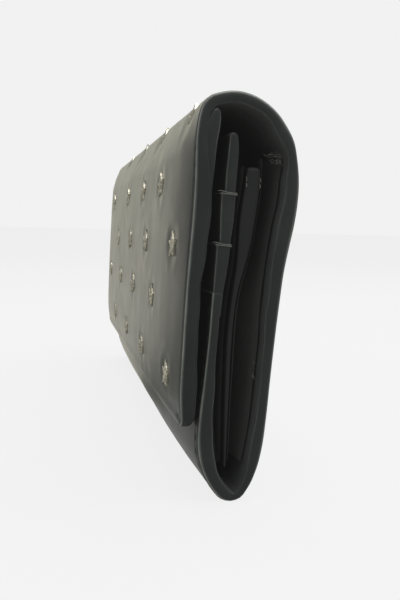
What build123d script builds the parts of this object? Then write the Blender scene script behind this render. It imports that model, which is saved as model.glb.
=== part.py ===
"""Long wallet of black leather with a studded flap, a zipped coin pocket and a ring for a chain.

Frame: X runs along the wallet, Z is up, the flap faces -Y. The wallet stands on its bottom fold,
and the origin is the middle of the flat that it stands on. Lengths are in millimetres.
"""
from build123d import *
import math
import os

os.makedirs("parts", exist_ok=True)

# ---------------------------------------------------------------- driving dimensions
wallet_length = 190.0
front_length = 189.0
divider_length = 186.0
fold_gap = 0.3

# The walls are drawn in section. At each level (a height Z) a wall line holds its Y.
body_levels = [9, 20, 32, 44, 54, 62, 72, 82, 90]
front_inner = [-3.7, -4.8, -4.4, -3.8, -2.7, -1.6, -0.6, -0.2, -0.4]
front_outer = [-5.9, -6.7, -6.1, -5.3, -4.6, -3.7, -3.0, -2.7, -2.3]
cover_inner = [-6.0, -6.9, -6.3, -5.6, -5.9, -5.2]
cover_outer = [-7.5, -8.3, -7.7, -6.9, -6.9, -6.2]
divider_front = [-1.6, -1.6, -1.5, -1.1, -0.4, 0.6, 1.7, 2.8]
divider_back = [-0.6, -0.5, -0.4, 0.2, 1.5, 3.2, 4.6, 5.7]
back_levels = [9, 20, 32, 44, 54, 62, 72, 80, 86, 92]
back_inner = [4.6, 6.3, 7.1, 7.7, 8.6, 9.6, 11.0, 11.5, 11.0, 8.6]
back_outer = [7.0, 8.4, 9.3, 10.2, 11.4, 12.7, 14.2, 14.6, 13.8, 11.0]
flap_levels = [19.5, 30, 42, 54, 66, 80, 92]
flap_outer = [-13.1, -13.1, -12.7, -12.1, -11.3, -10.4, -9.9]
flap_inner = [-9.8, -9.4, -9.1, -8.5, -7.1, -5.7, -5.1]

body_low = 9.0
front_high = 90.0
cover_mouth = 52.6
divider_high = 82.0
flap_low = 19.5
flap_fold = (-9.9, 92.0)
back_fold = (12.6, 89.0)
back_fold_slope = math.radians(28)
spine_crest = [(-9.6, 94.4), (-8.1, 97.0), (-5.2, 98.9), (-1.0, 99.5), (4.7, 97.9), (9.7, 93.9)]
spine_cover_thick = 1.3
spine_thick = 2.4

# Layers of each wall, as shares of the way from its inner line to its outer one
back_layers = {"back_cover": (0.45, 1.0), "back_lining": (0.22, 0.45)}
flap_layers = {"flap_cover": (0.68, 1.0), "flap_filler": (0.28, 0.68), "flap_lining": (0.0, 0.28)}
front_layers = {"front_lining": (0.0, 0.3), "front_panel": (0.3, 1.0)}
coin_front_share = 0.22
coin_back_share = 0.75
filler_inset = 1.2
cut_width = 80.0

# Card slots: the mouth and the foot of each strip
front_tiers = {"slot_tier_upper": (76.5, 62.5), "slot_tier_lower": (64.0, 51.0)}
back_tiers = {"back_slot_upper": (68.0, 54.5), "back_slot_lower": (56.0, 42.5)}
tier_thick = 0.65
tier_step = 0.8
back_tier_length = 160.0
tier_sunk = 0.1

# Accordion gussets
gusset_depth = 11.5
gusset_end = 92.5
gusset_clear = 0.3
gusset_high = 83.0
gusset_leg_share = 0.34
gusset_web = 1.0

# Zip of the coin pocket
zip_level = 71.5
zip_half_length = 75.0
zip_lean = math.radians(6.28)
zip_stand_off = 1.85
window_half = 5.0
tooth_pitch = 1.9
tooth_size = (0.9, 1.7, 1.1)
tooth_gap = 0.45
tape_size = (5.0, 0.36)
slider_rest = -69.0
slider_size = (7.0, 6.4)
slider_plate = 0.55
pull_length = 10.0
pull_width = 4.0
pull_thick = 0.85
peg_radius = 0.7
peg_high = 1.1
peg_head = 0.4

# Snap fastener between the flap and the front
snap_level = 32.0
snap_radius = 6.0
snap_post_radius = 2.2
snap_clear = 0.1
snap_post_clear = 0.35

# Studs, stitches and the chain ring
stud_radius = 3.7
stud_height = 0.9
stud_waist = 0.46
stud_top = 0.12
stud_sunk = 0.15
stud_rows = {
    29.5: (79.0, 35.0, -9.0, -53.0), 47.5: (53.5, 10.0, -33.0, -79.0),
    63.2: (80.0, 37.5, -3.0, -47.0), 79.3: (60.5, 26.5, -17.0, -75.0),
}
spine_studs = (82.0, 39.0, -4.0, -47.0)
spine_stud_share = 0.155
stitch_pitch = 3.4
stitch_size = (2.3, 0.55, 0.3)
stitch_margin = 2.6
stitch_lift = 0.22
stitch_from_stud = 1.3
ring_level = 71.0
ring_axis_x = -98.6
ring_radius = 6.5
ring_wire = 1.0
tab_height = 5.0
tab_thick = 1.2
tab_stand_off = 0.6
tab_end = -80.5
tab_start = -97.5
loop_hole = 1.65


# ---------------------------------------------------------------- helpers
def y_at(line, levels, level):
    """Y of a wall line at a height, on the straight between its two nearest levels."""
    for low, high, start, end in zip(levels, levels[1:], line, line[1:]):
        if level <= high:
            return start + (end - start) * (level - low) / (high - low)
    return line[-1]


def blend(line_a, line_b, share):
    """The wall line that lies a given share of the way from one wall line to another."""
    return [a + (b - a) * share for a, b in zip(line_a, line_b)]


def wall_outline(line_a, line_b, levels):
    """Draw the closed section between two wall lines, in the open line context."""
    side_a = Spline(*zip(line_a, levels))
    side_b = Spline(*zip(line_b, levels))
    Line(side_a @ 0, side_b @ 0)
    Line(side_a @ 1, side_b @ 1)


def wall(line_a, line_b, levels, low, high, length, centre=0.0):
    """A sheet between two wall lines, cut to a height range, and extruded along X."""
    with BuildPart() as sheet:
        with BuildSketch(Plane.YZ.offset(centre)):
            with BuildLine():
                wall_outline(line_a, line_b, levels)
            make_face()
            with Locations((0, (low + high) / 2)):
                Rectangle(cut_width, high - low, mode=Mode.INTERSECT)
        extrude(amount=length / 2, both=True)
    return sheet


def face_plane(line, levels, side, x, level, lift):
    """A plane on a wall line: its normal points out of the wall, side is -1 for -Y or 1 for +Y."""
    rise = 0.5
    run = y_at(line, levels, level + rise) - y_at(line, levels, level - rise)
    normal = Vector(0, side * 2 * rise, -side * run).normalized()
    origin = Vector(x, y_at(line, levels, level), level) + normal * lift
    return Plane(origin=origin, x_dir=(1, 0, 0), z_dir=normal)


def star_studs(planes):
    """Five-pointed faceted studs, one on each plane."""
    points = []
    for tip in range(10):
        reach = stud_radius * (stud_waist if tip % 2 else 1.0)
        angle = math.radians(90 + 36 * tip)
        points.append((reach * math.cos(angle), reach * math.sin(angle)))
    with BuildPart() as stud:
        with BuildSketch():
            Polygon(*points, align=None)
        with BuildSketch(Plane.XY.offset(stud_height)):
            Polygon(*[(x * stud_top, y * stud_top) for x, y in points], align=None)
        loft(ruled=True)
    return Compound(children=[plane.location * stud.part for plane in planes])


def stitches(planes):
    """Stitches as short bars lying on the given planes."""
    with BuildPart() as stitch:
        with BuildSketch():
            SlotOverall(stitch_size[0], stitch_size[1])
        extrude(amount=stitch_size[2])
    return Compound(children=[plane.location * stitch.part for plane in planes])


def card_slot(line, levels, mouth, foot, length):
    """A strip sewn on a wall line at its foot, which stands off the wall at its mouth to take a card."""
    mouth_y = y_at(line, levels, mouth) - tier_sunk - tier_step
    foot_y = y_at(line, levels, foot) - tier_sunk
    with BuildPart() as strip:
        with BuildSketch(Plane.YZ):
            Polygon((mouth_y - tier_thick, mouth), (mouth_y, mouth),
                    (foot_y, foot), (foot_y - tier_thick, foot), align=None)
        extrude(amount=length / 2, both=True)
    return strip.part


def save(part, label):
    """Label a finished piece and write it as a STEP file."""
    part.label = label
    export_step(part, f"parts/{label}.step")


# ---------------------------------------------------------------- back, with the bottom fold
fold_plane = Plane(origin=(0, *back_fold), x_dir=(1, 0, 0),
                   z_dir=(0, -math.sin(back_fold_slope), math.cos(back_fold_slope)))
for label, (inner_share, outer_share) in back_layers.items():
    layer_inner = blend(back_inner, back_outer, inner_share)
    layer_outer = blend(back_inner, back_outer, outer_share)
    with BuildPart() as back_layer:
        with BuildSketch(Plane.YZ):
            with BuildLine():
                wall_outline(layer_inner, layer_outer, back_levels)
            make_face()
        extrude(amount=wallet_length / 2, both=True)
        split(bisect_by=fold_plane.offset(-fold_gap / 2), keep=Keep.BOTTOM)
    save(back_layer.part, label)

back_face = blend(back_inner, back_outer, back_layers["back_lining"][0])
for label, (mouth, foot) in back_tiers.items():
    save(card_slot(back_face, back_levels, mouth, foot, back_tier_length), label)

rest_back = (2.4, 0.0)
rest_front = (-2.0, 0.0)
fold_outer = [(7.0, body_low), (5.4, 3.6), rest_back]
fold_middle = [(5.8, body_low), (4.4, 4.4), (1.9, 1.2), (-1.4, 1.2), (-4.3, 4.6), (-6.3, body_low)]
fold_inner = [(4.6, body_low), (3.4, 5.2), (1.4, 2.3), (-0.9, 2.3), (-3.4, 5.2), (-5.0, body_low)]
with BuildPart() as bottom_fold:
    with BuildSketch(Plane.YZ):
        with BuildLine():
            Spline(*fold_outer)
            Line(rest_back, rest_front)
            Spline(rest_front, (-5.5, 3.8), (-7.5, body_low))
            Line((-7.5, body_low), fold_middle[-1])
            Polyline(*fold_middle)
            Line(fold_middle[0], fold_outer[0])
        make_face()
    extrude(amount=wallet_length / 2, both=True)
save(bottom_fold.part, "bottom_fold")

with BuildPart() as bottom_lining:
    with BuildSketch(Plane.YZ):
        with BuildLine():
            Polyline(*fold_middle)
            Line(fold_middle[-1], fold_inner[-1])
            Polyline(*fold_inner)
            Line(fold_inner[0], fold_middle[0])
        make_face()
    extrude(amount=wallet_length / 2 - 0.5, both=True)
save(bottom_lining.part, "bottom_lining")

# ---------------------------------------------------------------- spine over the top
with BuildLine() as crest:
    Spline((flap_fold[0], flap_fold[1] + fold_gap), *spine_crest, back_fold)
crest_edge = crest.edge()


def under_crest(depth, count=9):
    """Points that lie a given depth under the crest line, from the flap's fold to the back's."""
    points = []
    for step in range(count):
        share = step / (count - 1)
        place = crest_edge.position_at(share)
        along = crest_edge.tangent_at(share)
        points.append((place.X + along.Y * depth, place.Y - along.X * depth))
    return points


spine_layers = {"spine_cover": (0.0, spine_cover_thick), "spine_lining": (spine_cover_thick, spine_thick)}
for label, (outer_depth, inner_depth) in spine_layers.items():
    with BuildPart() as spine_layer:
        with BuildSketch(Plane.YZ):
            with BuildLine():
                over = Spline(*under_crest(outer_depth))
                under = Spline(*under_crest(inner_depth))
                Line(over @ 0, under @ 0)
                Line(over @ 1, under @ 1)
            make_face()
        extrude(amount=wallet_length / 2, both=True)
        split(bisect_by=fold_plane.offset(fold_gap / 2), keep=Keep.TOP)
    save(spine_layer.part, label)

stud_place = crest_edge.position_at(spine_stud_share)
stud_along = crest_edge.tangent_at(spine_stud_share)
stud_normal = Vector(0, -stud_along.Y, stud_along.X)
spine_stud_planes = []
for stud_x in spine_studs:
    centre = Vector(stud_x, stud_place.X, stud_place.Y) + stud_normal * stud_sunk
    spine_stud_planes.append(Plane(origin=centre, x_dir=(1, 0, 0), z_dir=stud_normal))
save(star_studs(spine_stud_planes), "spine_star_studs")

# ---------------------------------------------------------------- flap
snap_y = y_at(flap_inner, flap_levels, snap_level)
flap_top = flap_fold[1] - fold_gap
for label, (inner_share, outer_share) in flap_layers.items():
    inset = filler_inset if label == "flap_filler" else 0.0
    inner_line = blend(flap_inner, flap_outer, inner_share)
    outer_line = blend(flap_inner, flap_outer, outer_share)
    with BuildPart() as flap_layer:
        with BuildSketch(Plane.YZ):
            with BuildLine():
                wall_outline(inner_line, outer_line, flap_levels)
            make_face()
            with Locations((0, (flap_low + inset + flap_top) / 2)):
                Rectangle(cut_width, flap_top - flap_low - inset, mode=Mode.INTERSECT)
        extrude(amount=wallet_length / 2 - inset, both=True)
        if label != "flap_cover":
            with BuildSketch(Plane.XZ.offset(-snap_y - 3.0)):
                with Locations((0, snap_level)):
                    Circle(snap_radius + snap_clear)
            extrude(amount=5.1, mode=Mode.SUBTRACT)
    save(flap_layer.part, label)

flap_stud_planes = []
for level, places in stud_rows.items():
    for stud_x in places:
        flap_stud_planes.append(face_plane(flap_outer, flap_levels, -1, stud_x, level, stud_sunk))
save(star_studs(flap_stud_planes), "flap_star_studs")


def edge_stitches(line, levels, side, low, high, closed_low, covers):
    """Planes of the stitches up both ends of a wall, and along its lower edge if it has one.

    A stitch that would lie under one of the covering pieces is left out.
    """
    planes = []
    reach = wallet_length / 2 - stitch_margin
    rows = int((high - low) / stitch_pitch)
    for row in range(1, rows):
        for end in (-1, 1):
            place = face_plane(line, levels, side, end * reach, low + row * stitch_pitch, stitch_lift)
            planes.append(Plane(origin=place.origin, x_dir=place.y_dir, z_dir=place.z_dir))
    if closed_low:
        count = int(2 * reach / stitch_pitch)
        start = -stitch_pitch * (count - 1) / 2
        for step in range(count):
            planes.append(face_plane(line, levels, side, start + step * stitch_pitch, low, stitch_lift))
    kept = []
    for plane in planes:
        if all((plane.origin - cover).length > stud_radius + stitch_from_stud for cover in covers):
            kept.append(plane)
    return kept


stud_centres = [plane.origin for plane in flap_stud_planes]
flap_stitch_low = flap_low + stitch_margin
flap_stitch_planes = edge_stitches(flap_outer, flap_levels, -1, flap_stitch_low, 90, True, stud_centres)
save(stitches(flap_stitch_planes), "flap_stitching")
back_stitch_planes = edge_stitches(back_outer, back_levels, 1, body_low + 1, 86, False, [])
save(stitches(back_stitch_planes), "back_stitching")

# ---------------------------------------------------------------- front panel and its card slots
front_low = body_low + fold_gap
for label, (inner_share, outer_share) in front_layers.items():
    layer_inner = blend(front_inner, front_outer, inner_share)
    layer_outer = blend(front_inner, front_outer, outer_share)
    with BuildPart() as front_layer:
        add(wall(layer_inner, layer_outer, body_levels, front_low, front_high, front_length).part)
        if label == "front_panel":
            with BuildSketch(Plane.XZ):
                with Locations((0, snap_level)):
                    Circle(snap_post_radius + 2.1)
            extrude(amount=20, mode=Mode.SUBTRACT)
    save(front_layer.part, label)

for label, (mouth, foot) in front_tiers.items():
    save(card_slot(front_outer, body_levels, mouth, foot, front_length), label)

with BuildPart() as front_cover:
    with BuildSketch(Plane.YZ):
        with BuildLine():
            wall_outline(cover_inner, cover_outer, body_levels[:6])
        make_face()
        with Locations((0, (front_low + cover_mouth) / 2)):
            Rectangle(cut_width, cover_mouth - front_low, mode=Mode.INTERSECT)
    extrude(amount=front_length / 2, both=True)
    with BuildSketch(Plane.XZ):
        with Locations((0, snap_level)):
            Circle(snap_post_radius + snap_clear)
    extrude(amount=20, mode=Mode.SUBTRACT)
    with BuildSketch(Plane.XZ.offset(7.1)):
        with Locations((0, snap_level)):
            Circle(snap_radius + snap_clear)
    extrude(amount=5, mode=Mode.SUBTRACT)
save(front_cover.part, "front_cover")

mouth_stitch_inset = 1.6
tier_lift = tier_step + tier_thick + 0.25
mouths = [(mouth, front_outer, tier_lift) for mouth, foot in front_tiers.values()]
mouths.append((cover_mouth, cover_outer, 0.05))
thread_planes = []
for mouth, outer, lift in mouths:
    for x in (-front_length / 2 + mouth_stitch_inset, 0, front_length / 2 - mouth_stitch_inset):
        place = face_plane(outer, body_levels, -1, x, mouth - mouth_stitch_inset, lift)
        thread_planes.append(Plane(origin=place.origin, x_dir=place.y_dir, z_dir=place.z_dir))
save(stitches(thread_planes), "slot_stitching")

# ---------------------------------------------------------------- snap fastener
with BuildPart() as snap_stud:
    with BuildSketch(Plane.XZ.offset(7.15)):
        with Locations((0, snap_level)):
            Circle(snap_radius)
    extrude(amount=1.0)
    with BuildSketch(Plane.XZ.offset(5.8)):
        with Locations((0, snap_level)):
            Circle(snap_post_radius)
    extrude(amount=4.2)
    fillet(snap_stud.faces().sort_by(Axis.Y)[0].edges(), radius=0.5)
save(snap_stud.part, "snap_stud")

with BuildPart() as snap_rivet:
    with BuildSketch(Plane.XZ.offset(5.25)):
        with Locations((0, snap_level)):
            Circle(snap_post_radius + 2.0)
    extrude(amount=0.5)
save(snap_rivet.part, "snap_stud_rivet")

with BuildPart() as snap_socket:
    with BuildSketch(Plane.XZ.offset(9.0)):
        with Locations((0, snap_level)):
            Circle(snap_radius)
            Circle(snap_post_radius + snap_post_clear, mode=Mode.SUBTRACT)
    extrude(amount=1.5)
save(snap_socket.part, "snap_socket")

with BuildPart() as snap_socket_cap:
    with BuildSketch(Plane.XZ.offset(10.55)):
        with Locations((0, snap_level)):
            Circle(snap_radius)
    extrude(amount=0.8)
save(snap_socket_cap.part, "snap_socket_cap")

# ---------------------------------------------------------------- coin pocket between the compartments
divider_levels = body_levels[:8]
zip_y = y_at(divider_front, divider_levels, zip_level) + zip_stand_off
zip_plane = Plane(origin=(0, zip_y, zip_level), x_dir=(1, 0, 0),
                  z_dir=(0, math.cos(zip_lean), -math.sin(zip_lean)))
divider_low = body_low + 1.0
front_wall_back = blend(divider_front, divider_back, coin_front_share)
back_wall_front = blend(divider_front, divider_back, coin_back_share)
window_low = zip_level - window_half
window_high = zip_level + window_half
coin_walls = {
    "coin_wall_front": (divider_front, front_wall_back, divider_low, divider_high),
    "coin_wall_back": (back_wall_front, divider_back, divider_low, window_low),
    "coin_wall_hem": (back_wall_front, divider_back, window_high, divider_high),
}
for label, (near_line, far_line, low, high) in coin_walls.items():
    save(wall(near_line, far_line, divider_levels, low, high, divider_length).part, label)

tooth_count = int(2 * (zip_half_length - 4) / tooth_pitch)
for label, side in (("upper", -1), ("lower", 1)):
    with BuildPart() as zip_tape:
        with BuildSketch(zip_plane.offset(-tape_size[1] / 2)):
            with Locations((0, side * (tooth_gap + tooth_size[1] + tape_size[0] / 2))):
                Rectangle(2 * zip_half_length + 6, tape_size[0])
        extrude(amount=tape_size[1])
    save(zip_tape.part, f"zip_tape_{label}")
    with BuildPart() as zip_teeth:
        with BuildSketch(zip_plane.offset(-tooth_size[2] / 2)):
            with Locations((side * tooth_pitch / 4, side * (tooth_gap + tooth_size[1] / 2))):
                with GridLocations(tooth_pitch, 1, tooth_count, 1):
                    Rectangle(tooth_size[0], tooth_size[1])
        extrude(amount=tooth_size[2])
    save(zip_teeth.part, f"zip_teeth_{label}")

with BuildPart() as zip_stops:
    with BuildSketch(zip_plane.offset(-0.7)):
        with Locations((-zip_half_length + 0.6, 0), (zip_half_length - 0.6, 0)):
            RectangleRounded(2.0, 4.2, 0.5)
    extrude(amount=1.4)
save(zip_stops.part, "zip_stops")

with BuildPart() as zip_end_tabs:
    with BuildSketch(zip_plane.offset(0.22)):
        with Locations((-(zip_half_length + 5.5), 0), (zip_half_length + 5.5, 0)):
            RectangleRounded(7.0, 2 * window_half - 0.6, 1.0)
    extrude(amount=0.7)
save(zip_end_tabs.part, "zip_end_tabs")

slider_origin = zip_plane.origin + Vector(slider_rest, 0, 0)
slider_plane = Plane(origin=slider_origin, x_dir=(1, 0, 0), z_dir=zip_plane.z_dir)
plate_start = tooth_size[2] / 2 + 0.07
with BuildPart() as zip_slider:
    for start in (plate_start, -plate_start - slider_plate):
        with BuildSketch(slider_plane.offset(start)):
            RectangleRounded(slider_size[0], slider_size[1], 1.6)
        extrude(amount=slider_plate)
    with BuildSketch(slider_plane.offset(-plate_start)):
        SlotOverall(2.4, 2 * (tooth_gap - 0.06))
    extrude(amount=2 * plate_start)
    for start, depth in ((0.28, plate_start - 0.28), (-plate_start, plate_start - 0.28)):
        with BuildSketch(slider_plane.offset(start)):
            with Locations((0, -2.75), (0, 2.75)):
                Rectangle(slider_size[0] - 3.4, 0.8)
        extrude(amount=depth)
    with BuildSketch(slider_plane.offset(plate_start + slider_plate)):
        Circle(peg_radius)
    extrude(amount=peg_high)
    with BuildSketch(slider_plane.offset(plate_start + slider_plate + peg_high)):
        Circle(peg_radius + 0.6)
    extrude(amount=peg_head)
save(zip_slider.part, "zip_slider")

with BuildPart() as zip_pull:
    with BuildSketch(slider_plane.offset(plate_start + slider_plate + 0.12)):
        with Locations((0, pull_length / 2 - 1)):
            SlotOverall(pull_length + 2, pull_width, rotation=90)
        Circle(peg_radius + 0.06, mode=Mode.SUBTRACT)
        with Locations((0, pull_length - 2.6)):
            Circle(1.0, mode=Mode.SUBTRACT)
    extrude(amount=pull_thick)
save(zip_pull.part, "zip_pull")

# ---------------------------------------------------------------- accordion gussets
back_lining_face = [y_at(back_face, back_levels, level) - 0.2 for level in divider_levels]
gusset_gaps = {"front": (front_inner[:8], divider_front), "back": (divider_back, back_lining_face)}
for place, (line_a, line_b) in gusset_gaps.items():
    near = [a + gusset_clear for a in line_a]
    far = [b - gusset_clear for b in line_b]
    leg_near = blend(near, far, gusset_leg_share)
    leg_far = blend(near, far, 1 - gusset_leg_share)
    for name, end in (("left", -1), ("right", 1)):
        outer = end * gusset_end
        root = end * (gusset_end - gusset_depth)
        with BuildPart() as gusset:
            with BuildSketch(Plane.YZ.offset((outer + root) / 2)):
                with BuildLine():
                    wall_outline(near, far, divider_levels)
                make_face()
                with Locations((0, (divider_low + gusset_high) / 2)):
                    Rectangle(cut_width, gusset_high - divider_low, mode=Mode.INTERSECT)
            extrude(amount=gusset_depth / 2, both=True)
            with BuildSketch(Plane.YZ.offset((outer + root) / 2 + end * gusset_web)):
                with BuildLine():
                    wall_outline(leg_near, leg_far, divider_levels)
                make_face()
            extrude(amount=gusset_depth / 2, both=True, mode=Mode.SUBTRACT)
        save(gusset.part, f"gusset_{place}_{name}")

# ---------------------------------------------------------------- ring for the chain
tab_low = ring_level - tab_height / 2
ring_y = y_at(back_outer, back_levels, ring_level) + 1.6
loop_outer = loop_hole + tab_thick
tab_inner = [y + tab_stand_off for y in back_outer]
tab_outer = [y + tab_thick for y in tab_inner]
with BuildPart() as ring_tab:
    with BuildSketch(Plane.YZ.offset(tab_start)):
        with BuildLine():
            wall_outline(tab_inner, tab_outer, back_levels)
        make_face()
        with Locations((0, ring_level)):
            Rectangle(cut_width, tab_height, mode=Mode.INTERSECT)
    extrude(amount=tab_end - tab_start)
    with BuildSketch(Plane.XY.offset(tab_low)):
        with Locations((ring_axis_x, ring_y)):
            Circle(loop_outer)
    extrude(amount=tab_height)
    with BuildSketch(Plane.XY.offset(tab_low)):
        with Locations((ring_axis_x, ring_y)):
            Circle(loop_hole)
    extrude(amount=tab_height, mode=Mode.SUBTRACT)
save(ring_tab.part, "ring_tab")

ring_origin = (ring_axis_x - ring_radius, ring_y, ring_level)
ring_plane = Plane(origin=ring_origin, x_dir=(1, 0, 0), z_dir=(0, 1, 0))
with BuildPart() as chain_ring:
    with Locations(ring_plane.location):
        Torus(ring_radius, ring_wire)
save(chain_ring.part, "chain_ring")
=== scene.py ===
"""Looks of the long studded wallet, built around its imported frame.

Helpers and section lines work in millimetres in the frame's axes: X along the wallet, the flap faces -Y,
Z up. Meshes are written in metres.
"""
import math

import bmesh
import bpy
import numpy as np
from mathutils import Matrix, Vector, noise


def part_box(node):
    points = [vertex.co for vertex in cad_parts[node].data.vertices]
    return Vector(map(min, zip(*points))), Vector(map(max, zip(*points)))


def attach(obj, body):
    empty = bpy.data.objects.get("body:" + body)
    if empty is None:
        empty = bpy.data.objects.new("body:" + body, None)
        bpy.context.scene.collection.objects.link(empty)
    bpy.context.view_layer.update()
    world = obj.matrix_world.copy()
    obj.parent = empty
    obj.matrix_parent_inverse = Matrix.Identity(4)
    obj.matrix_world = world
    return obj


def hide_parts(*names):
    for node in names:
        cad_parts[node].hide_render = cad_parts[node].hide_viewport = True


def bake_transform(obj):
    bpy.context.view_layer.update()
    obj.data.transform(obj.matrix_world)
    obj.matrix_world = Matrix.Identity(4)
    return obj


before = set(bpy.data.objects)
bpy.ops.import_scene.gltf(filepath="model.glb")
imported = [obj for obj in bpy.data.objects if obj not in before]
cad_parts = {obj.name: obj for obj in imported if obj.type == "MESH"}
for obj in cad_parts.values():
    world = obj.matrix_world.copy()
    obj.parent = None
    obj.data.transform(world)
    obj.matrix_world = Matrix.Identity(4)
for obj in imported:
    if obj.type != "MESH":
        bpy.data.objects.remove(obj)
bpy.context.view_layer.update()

# ---- driving sizes, in millimetres
MM = 0.001
WALLET_LENGTH = 190.0
FRONT_LENGTH = 189.2
DIVIDER_LENGTH = 186.0

# The leather's wrap in section, from the flap's lower edge over the spine, down the back, round the
# bottom and up to the mouth of the front pocket: outer Y, outer Z, inner Y, inner Z.
WRAP = [
    (-12.4, 18.7, -9.9, 18.8), (-13.1, 26.0, -9.5, 26.0), (-12.8, 36.1, -9.5, 36.2),
    (-12.4, 45.7, -9.2, 45.8), (-12.0, 54.0, -8.7, 54.0), (-11.5, 62.3, -7.9, 62.1),
    (-11.0, 70.5, -7.0, 70.5), (-10.7, 78.0, -6.6, 78.0), (-10.6, 85.4, -7.6, 85.0),
    (-10.5, 90.0, -8.0, 89.6), (-10.1, 93.4, -7.7, 92.4), (-9.3, 96.1, -6.9, 94.6),
    (-7.4, 98.2, -5.7, 95.9), (-4.5, 99.2, -4.0, 96.5), (-1.2, 99.65, -1.3, 96.8),
    (2.3, 99.2, 1.5, 96.3), (5.9, 97.7, 4.4, 94.9), (9.1, 95.3, 6.9, 92.8),
    (11.6, 92.2, 9.0, 90.0), (13.5, 88.7, 11.0, 87.2), (14.5, 84.3, 11.9, 83.8),
    (15.1, 79.5, 11.5, 79.4), (15.0, 74.0, 11.0, 73.8), (14.3, 68.5, 9.9, 68.3),
    (13.3, 63.5, 9.2, 63.3), (12.2, 57.5, 8.5, 57.4), (11.3, 49.5, 7.8, 49.5),
    (10.4, 40.0, 7.4, 40.0), (9.6, 30.5, 6.7, 30.4), (8.9, 21.0, 5.8, 20.8),
    (8.0, 13.0, 4.8, 13.4), (6.6, 7.4, 3.8, 8.0), (4.7, 3.2, 2.9, 4.6), (2.4, 0.5, 2.0, 2.5),
    (0.2, 0.0, 1.3, 1.9), (-2.0, 0.6, 0.3, 2.6), (-4.2, 2.9, -1.0, 4.2), (-6.2, 6.2, -2.5, 6.6),
    (-7.9, 11.0, -3.75, 11.2), (-8.45, 16.3, -4.4, 16.1), (-8.1, 22.0, -4.6, 21.5),
    (-7.2, 31.1, -4.3, 31.6), (-6.5, 38.4, -4.1, 38.6), (-6.1, 44.0, -3.8, 44.0),
    (-5.75, 50.5, -3.2, 50.5), (-5.6, 52.6, -3.0, 52.6),
]
CREST_ROW = 14
BOTTOM_ROW = 34

# The other sheets, lower end first: outer Y, Z, inner Y, Z. Outer is the side away from the middle.
FACING = [
    (-9.9, 19.6, -9.5, 19.6), (-9.7, 26.0, -9.1, 26.0), (-9.7, 36.2, -9.1, 36.3),
    (-9.4, 45.8, -8.8, 45.9), (-8.9, 54.0, -8.3, 54.0), (-8.1, 62.1, -7.5, 62.0),
    (-7.3, 70.4, -6.6, 70.5), (-7.0, 77.9, -6.0, 78.0), (-7.8, 85.0, -5.6, 85.0),
    (-8.1, 89.6, -5.3, 89.6), (-7.6, 92.6, -4.9, 92.9), (-6.3, 95.5, -5.0, 95.4),
]
FRONT_WALL = [
    (-5.6, 14.0, -4.9, 14.0), (-5.4, 33.0, -4.6, 33.0), (-4.9, 43.2, -4.1, 43.2),
    (-4.4, 52.9, -3.2, 52.9), (-3.7, 60.0, -2.1, 60.1), (-3.4, 68.0, -1.1, 68.0),
    (-3.1, 77.2, -0.4, 77.2), (-2.9, 81.2, -0.2, 81.2), (-2.5, 85.8, -0.1, 85.9),
    (-2.3, 88.6, -0.15, 88.6), (-2.2, 90.2, -0.3, 90.2),
]
TIER_LOWER = [
    (-5.2, 46.0, -3.5, 46.0), (-5.45, 53.0, -2.85, 53.0), (-5.2, 58.0, -2.15, 58.0),
    (-5.0, 62.4, -1.6, 62.4), (-4.95, 64.1, -1.5, 64.1),
]
TIER_UPPER = [
    (-4.3, 58.0, -2.2, 58.0), (-4.1, 62.0, -1.7, 62.0), (-4.15, 66.0, -1.25, 66.0),
    (-4.2, 70.0, -0.85, 70.0), (-4.1, 74.2, -0.55, 74.2), (-4.05, 76.3, -0.45, 76.3),
]
DIVIDER = [
    (-1.4, 8.3, -0.8, 8.3), (-1.5, 28.0, -0.4, 28.0), (-1.2, 43.2, 0.1, 43.2),
    (-0.2, 52.9, 1.2, 52.9), (0.6, 59.0, 2.9, 59.0), (0.9, 65.0, 4.2, 65.0),
    (1.1, 69.6, 4.9, 69.6), (1.7, 74.4, 5.5, 74.4), (2.3, 79.0, 5.9, 79.0), (2.6, 82.4, 5.8, 82.4),
]
# How far the filled flap and front stand out past their sections, at heights
BULGE_HEIGHTS = (18.0, 26.0, 35.0, 56.0, 66.0, 76.0, 86.0, 91.0, 95.0, 97.5)
FLAP_BULGE = (0.7, 1.2, 1.8, 2.3, 2.7, 2.9, 2.3, 0.8, -0.4, -0.2)
FRONT_BULGE_HEIGHTS = (0.0, 3.0, 7.0, 12.0, 20.0, 30.0, 53.0, 64.0, 77.0)
FRONT_BULGE = (0.0, 0.5, 1.9, 2.7, 2.1, 1.3, 0.9, 0.4, 0.2)
SNAP_REACH = 10.0

# Edges: places of mesh lines in from a rounded edge, and the rings of painted highlight along the edge ridges
EDGE_STEPS = np.array([0, 0.05, 0.14, 0.27, 0.4, 0.53, 0.7, 0.95, 1.3, 1.65, 2.0, 2.4, 2.9])
RIM_SHARE = 0.93
EDGE_HIGHLIGHT_LINE, EDGE_HIGHLIGHT_WIDTH = 0.4, 0.13
# Painted highlight on the top rim of the ends, where light from above catches the rounded edge
TOP_HIGHLIGHT = 0.42
TOP_HIGHLIGHT_LINE, TOP_HIGHLIGHT_WIDTH = 0.3, 0.16
TOP_HIGHLIGHT_HEIGHT = 88.0
RIPPLE_REACH = 5.0
PUCKER_DEPTH = 0.34
EDGE_GROOVE = 0.9
FLAP_GROOVE = 3.8
BODY_GROOVE = 1.9

WINDOW_LOW, WINDOW_HIGH = 66.5, 76.5
POCKET_SIDE = 8.5
PANEL_FROM = 32.0
GUSSET_DEPTH = 10.5
GUSSET_MOUTH_X = 91.8
GUSSET_LOW = 9.0
GUSSET_CLEAR = 0.6
GUSSET_HALF_THICK = 0.38
FRONT_GUSSET_TOP = 82.6
BACK_GUSSET_TOP = 84.6
LINING_INSET = 16.0
LINING_CLIMB = 5.0
LINING_SUNK, LINING_PROUD = 0.8, 0.2
ZIP_TAB_LENGTH = 7.0
LOOP_RADIUS = 2.2
LOOP_HALF_THICK = 0.5

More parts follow.
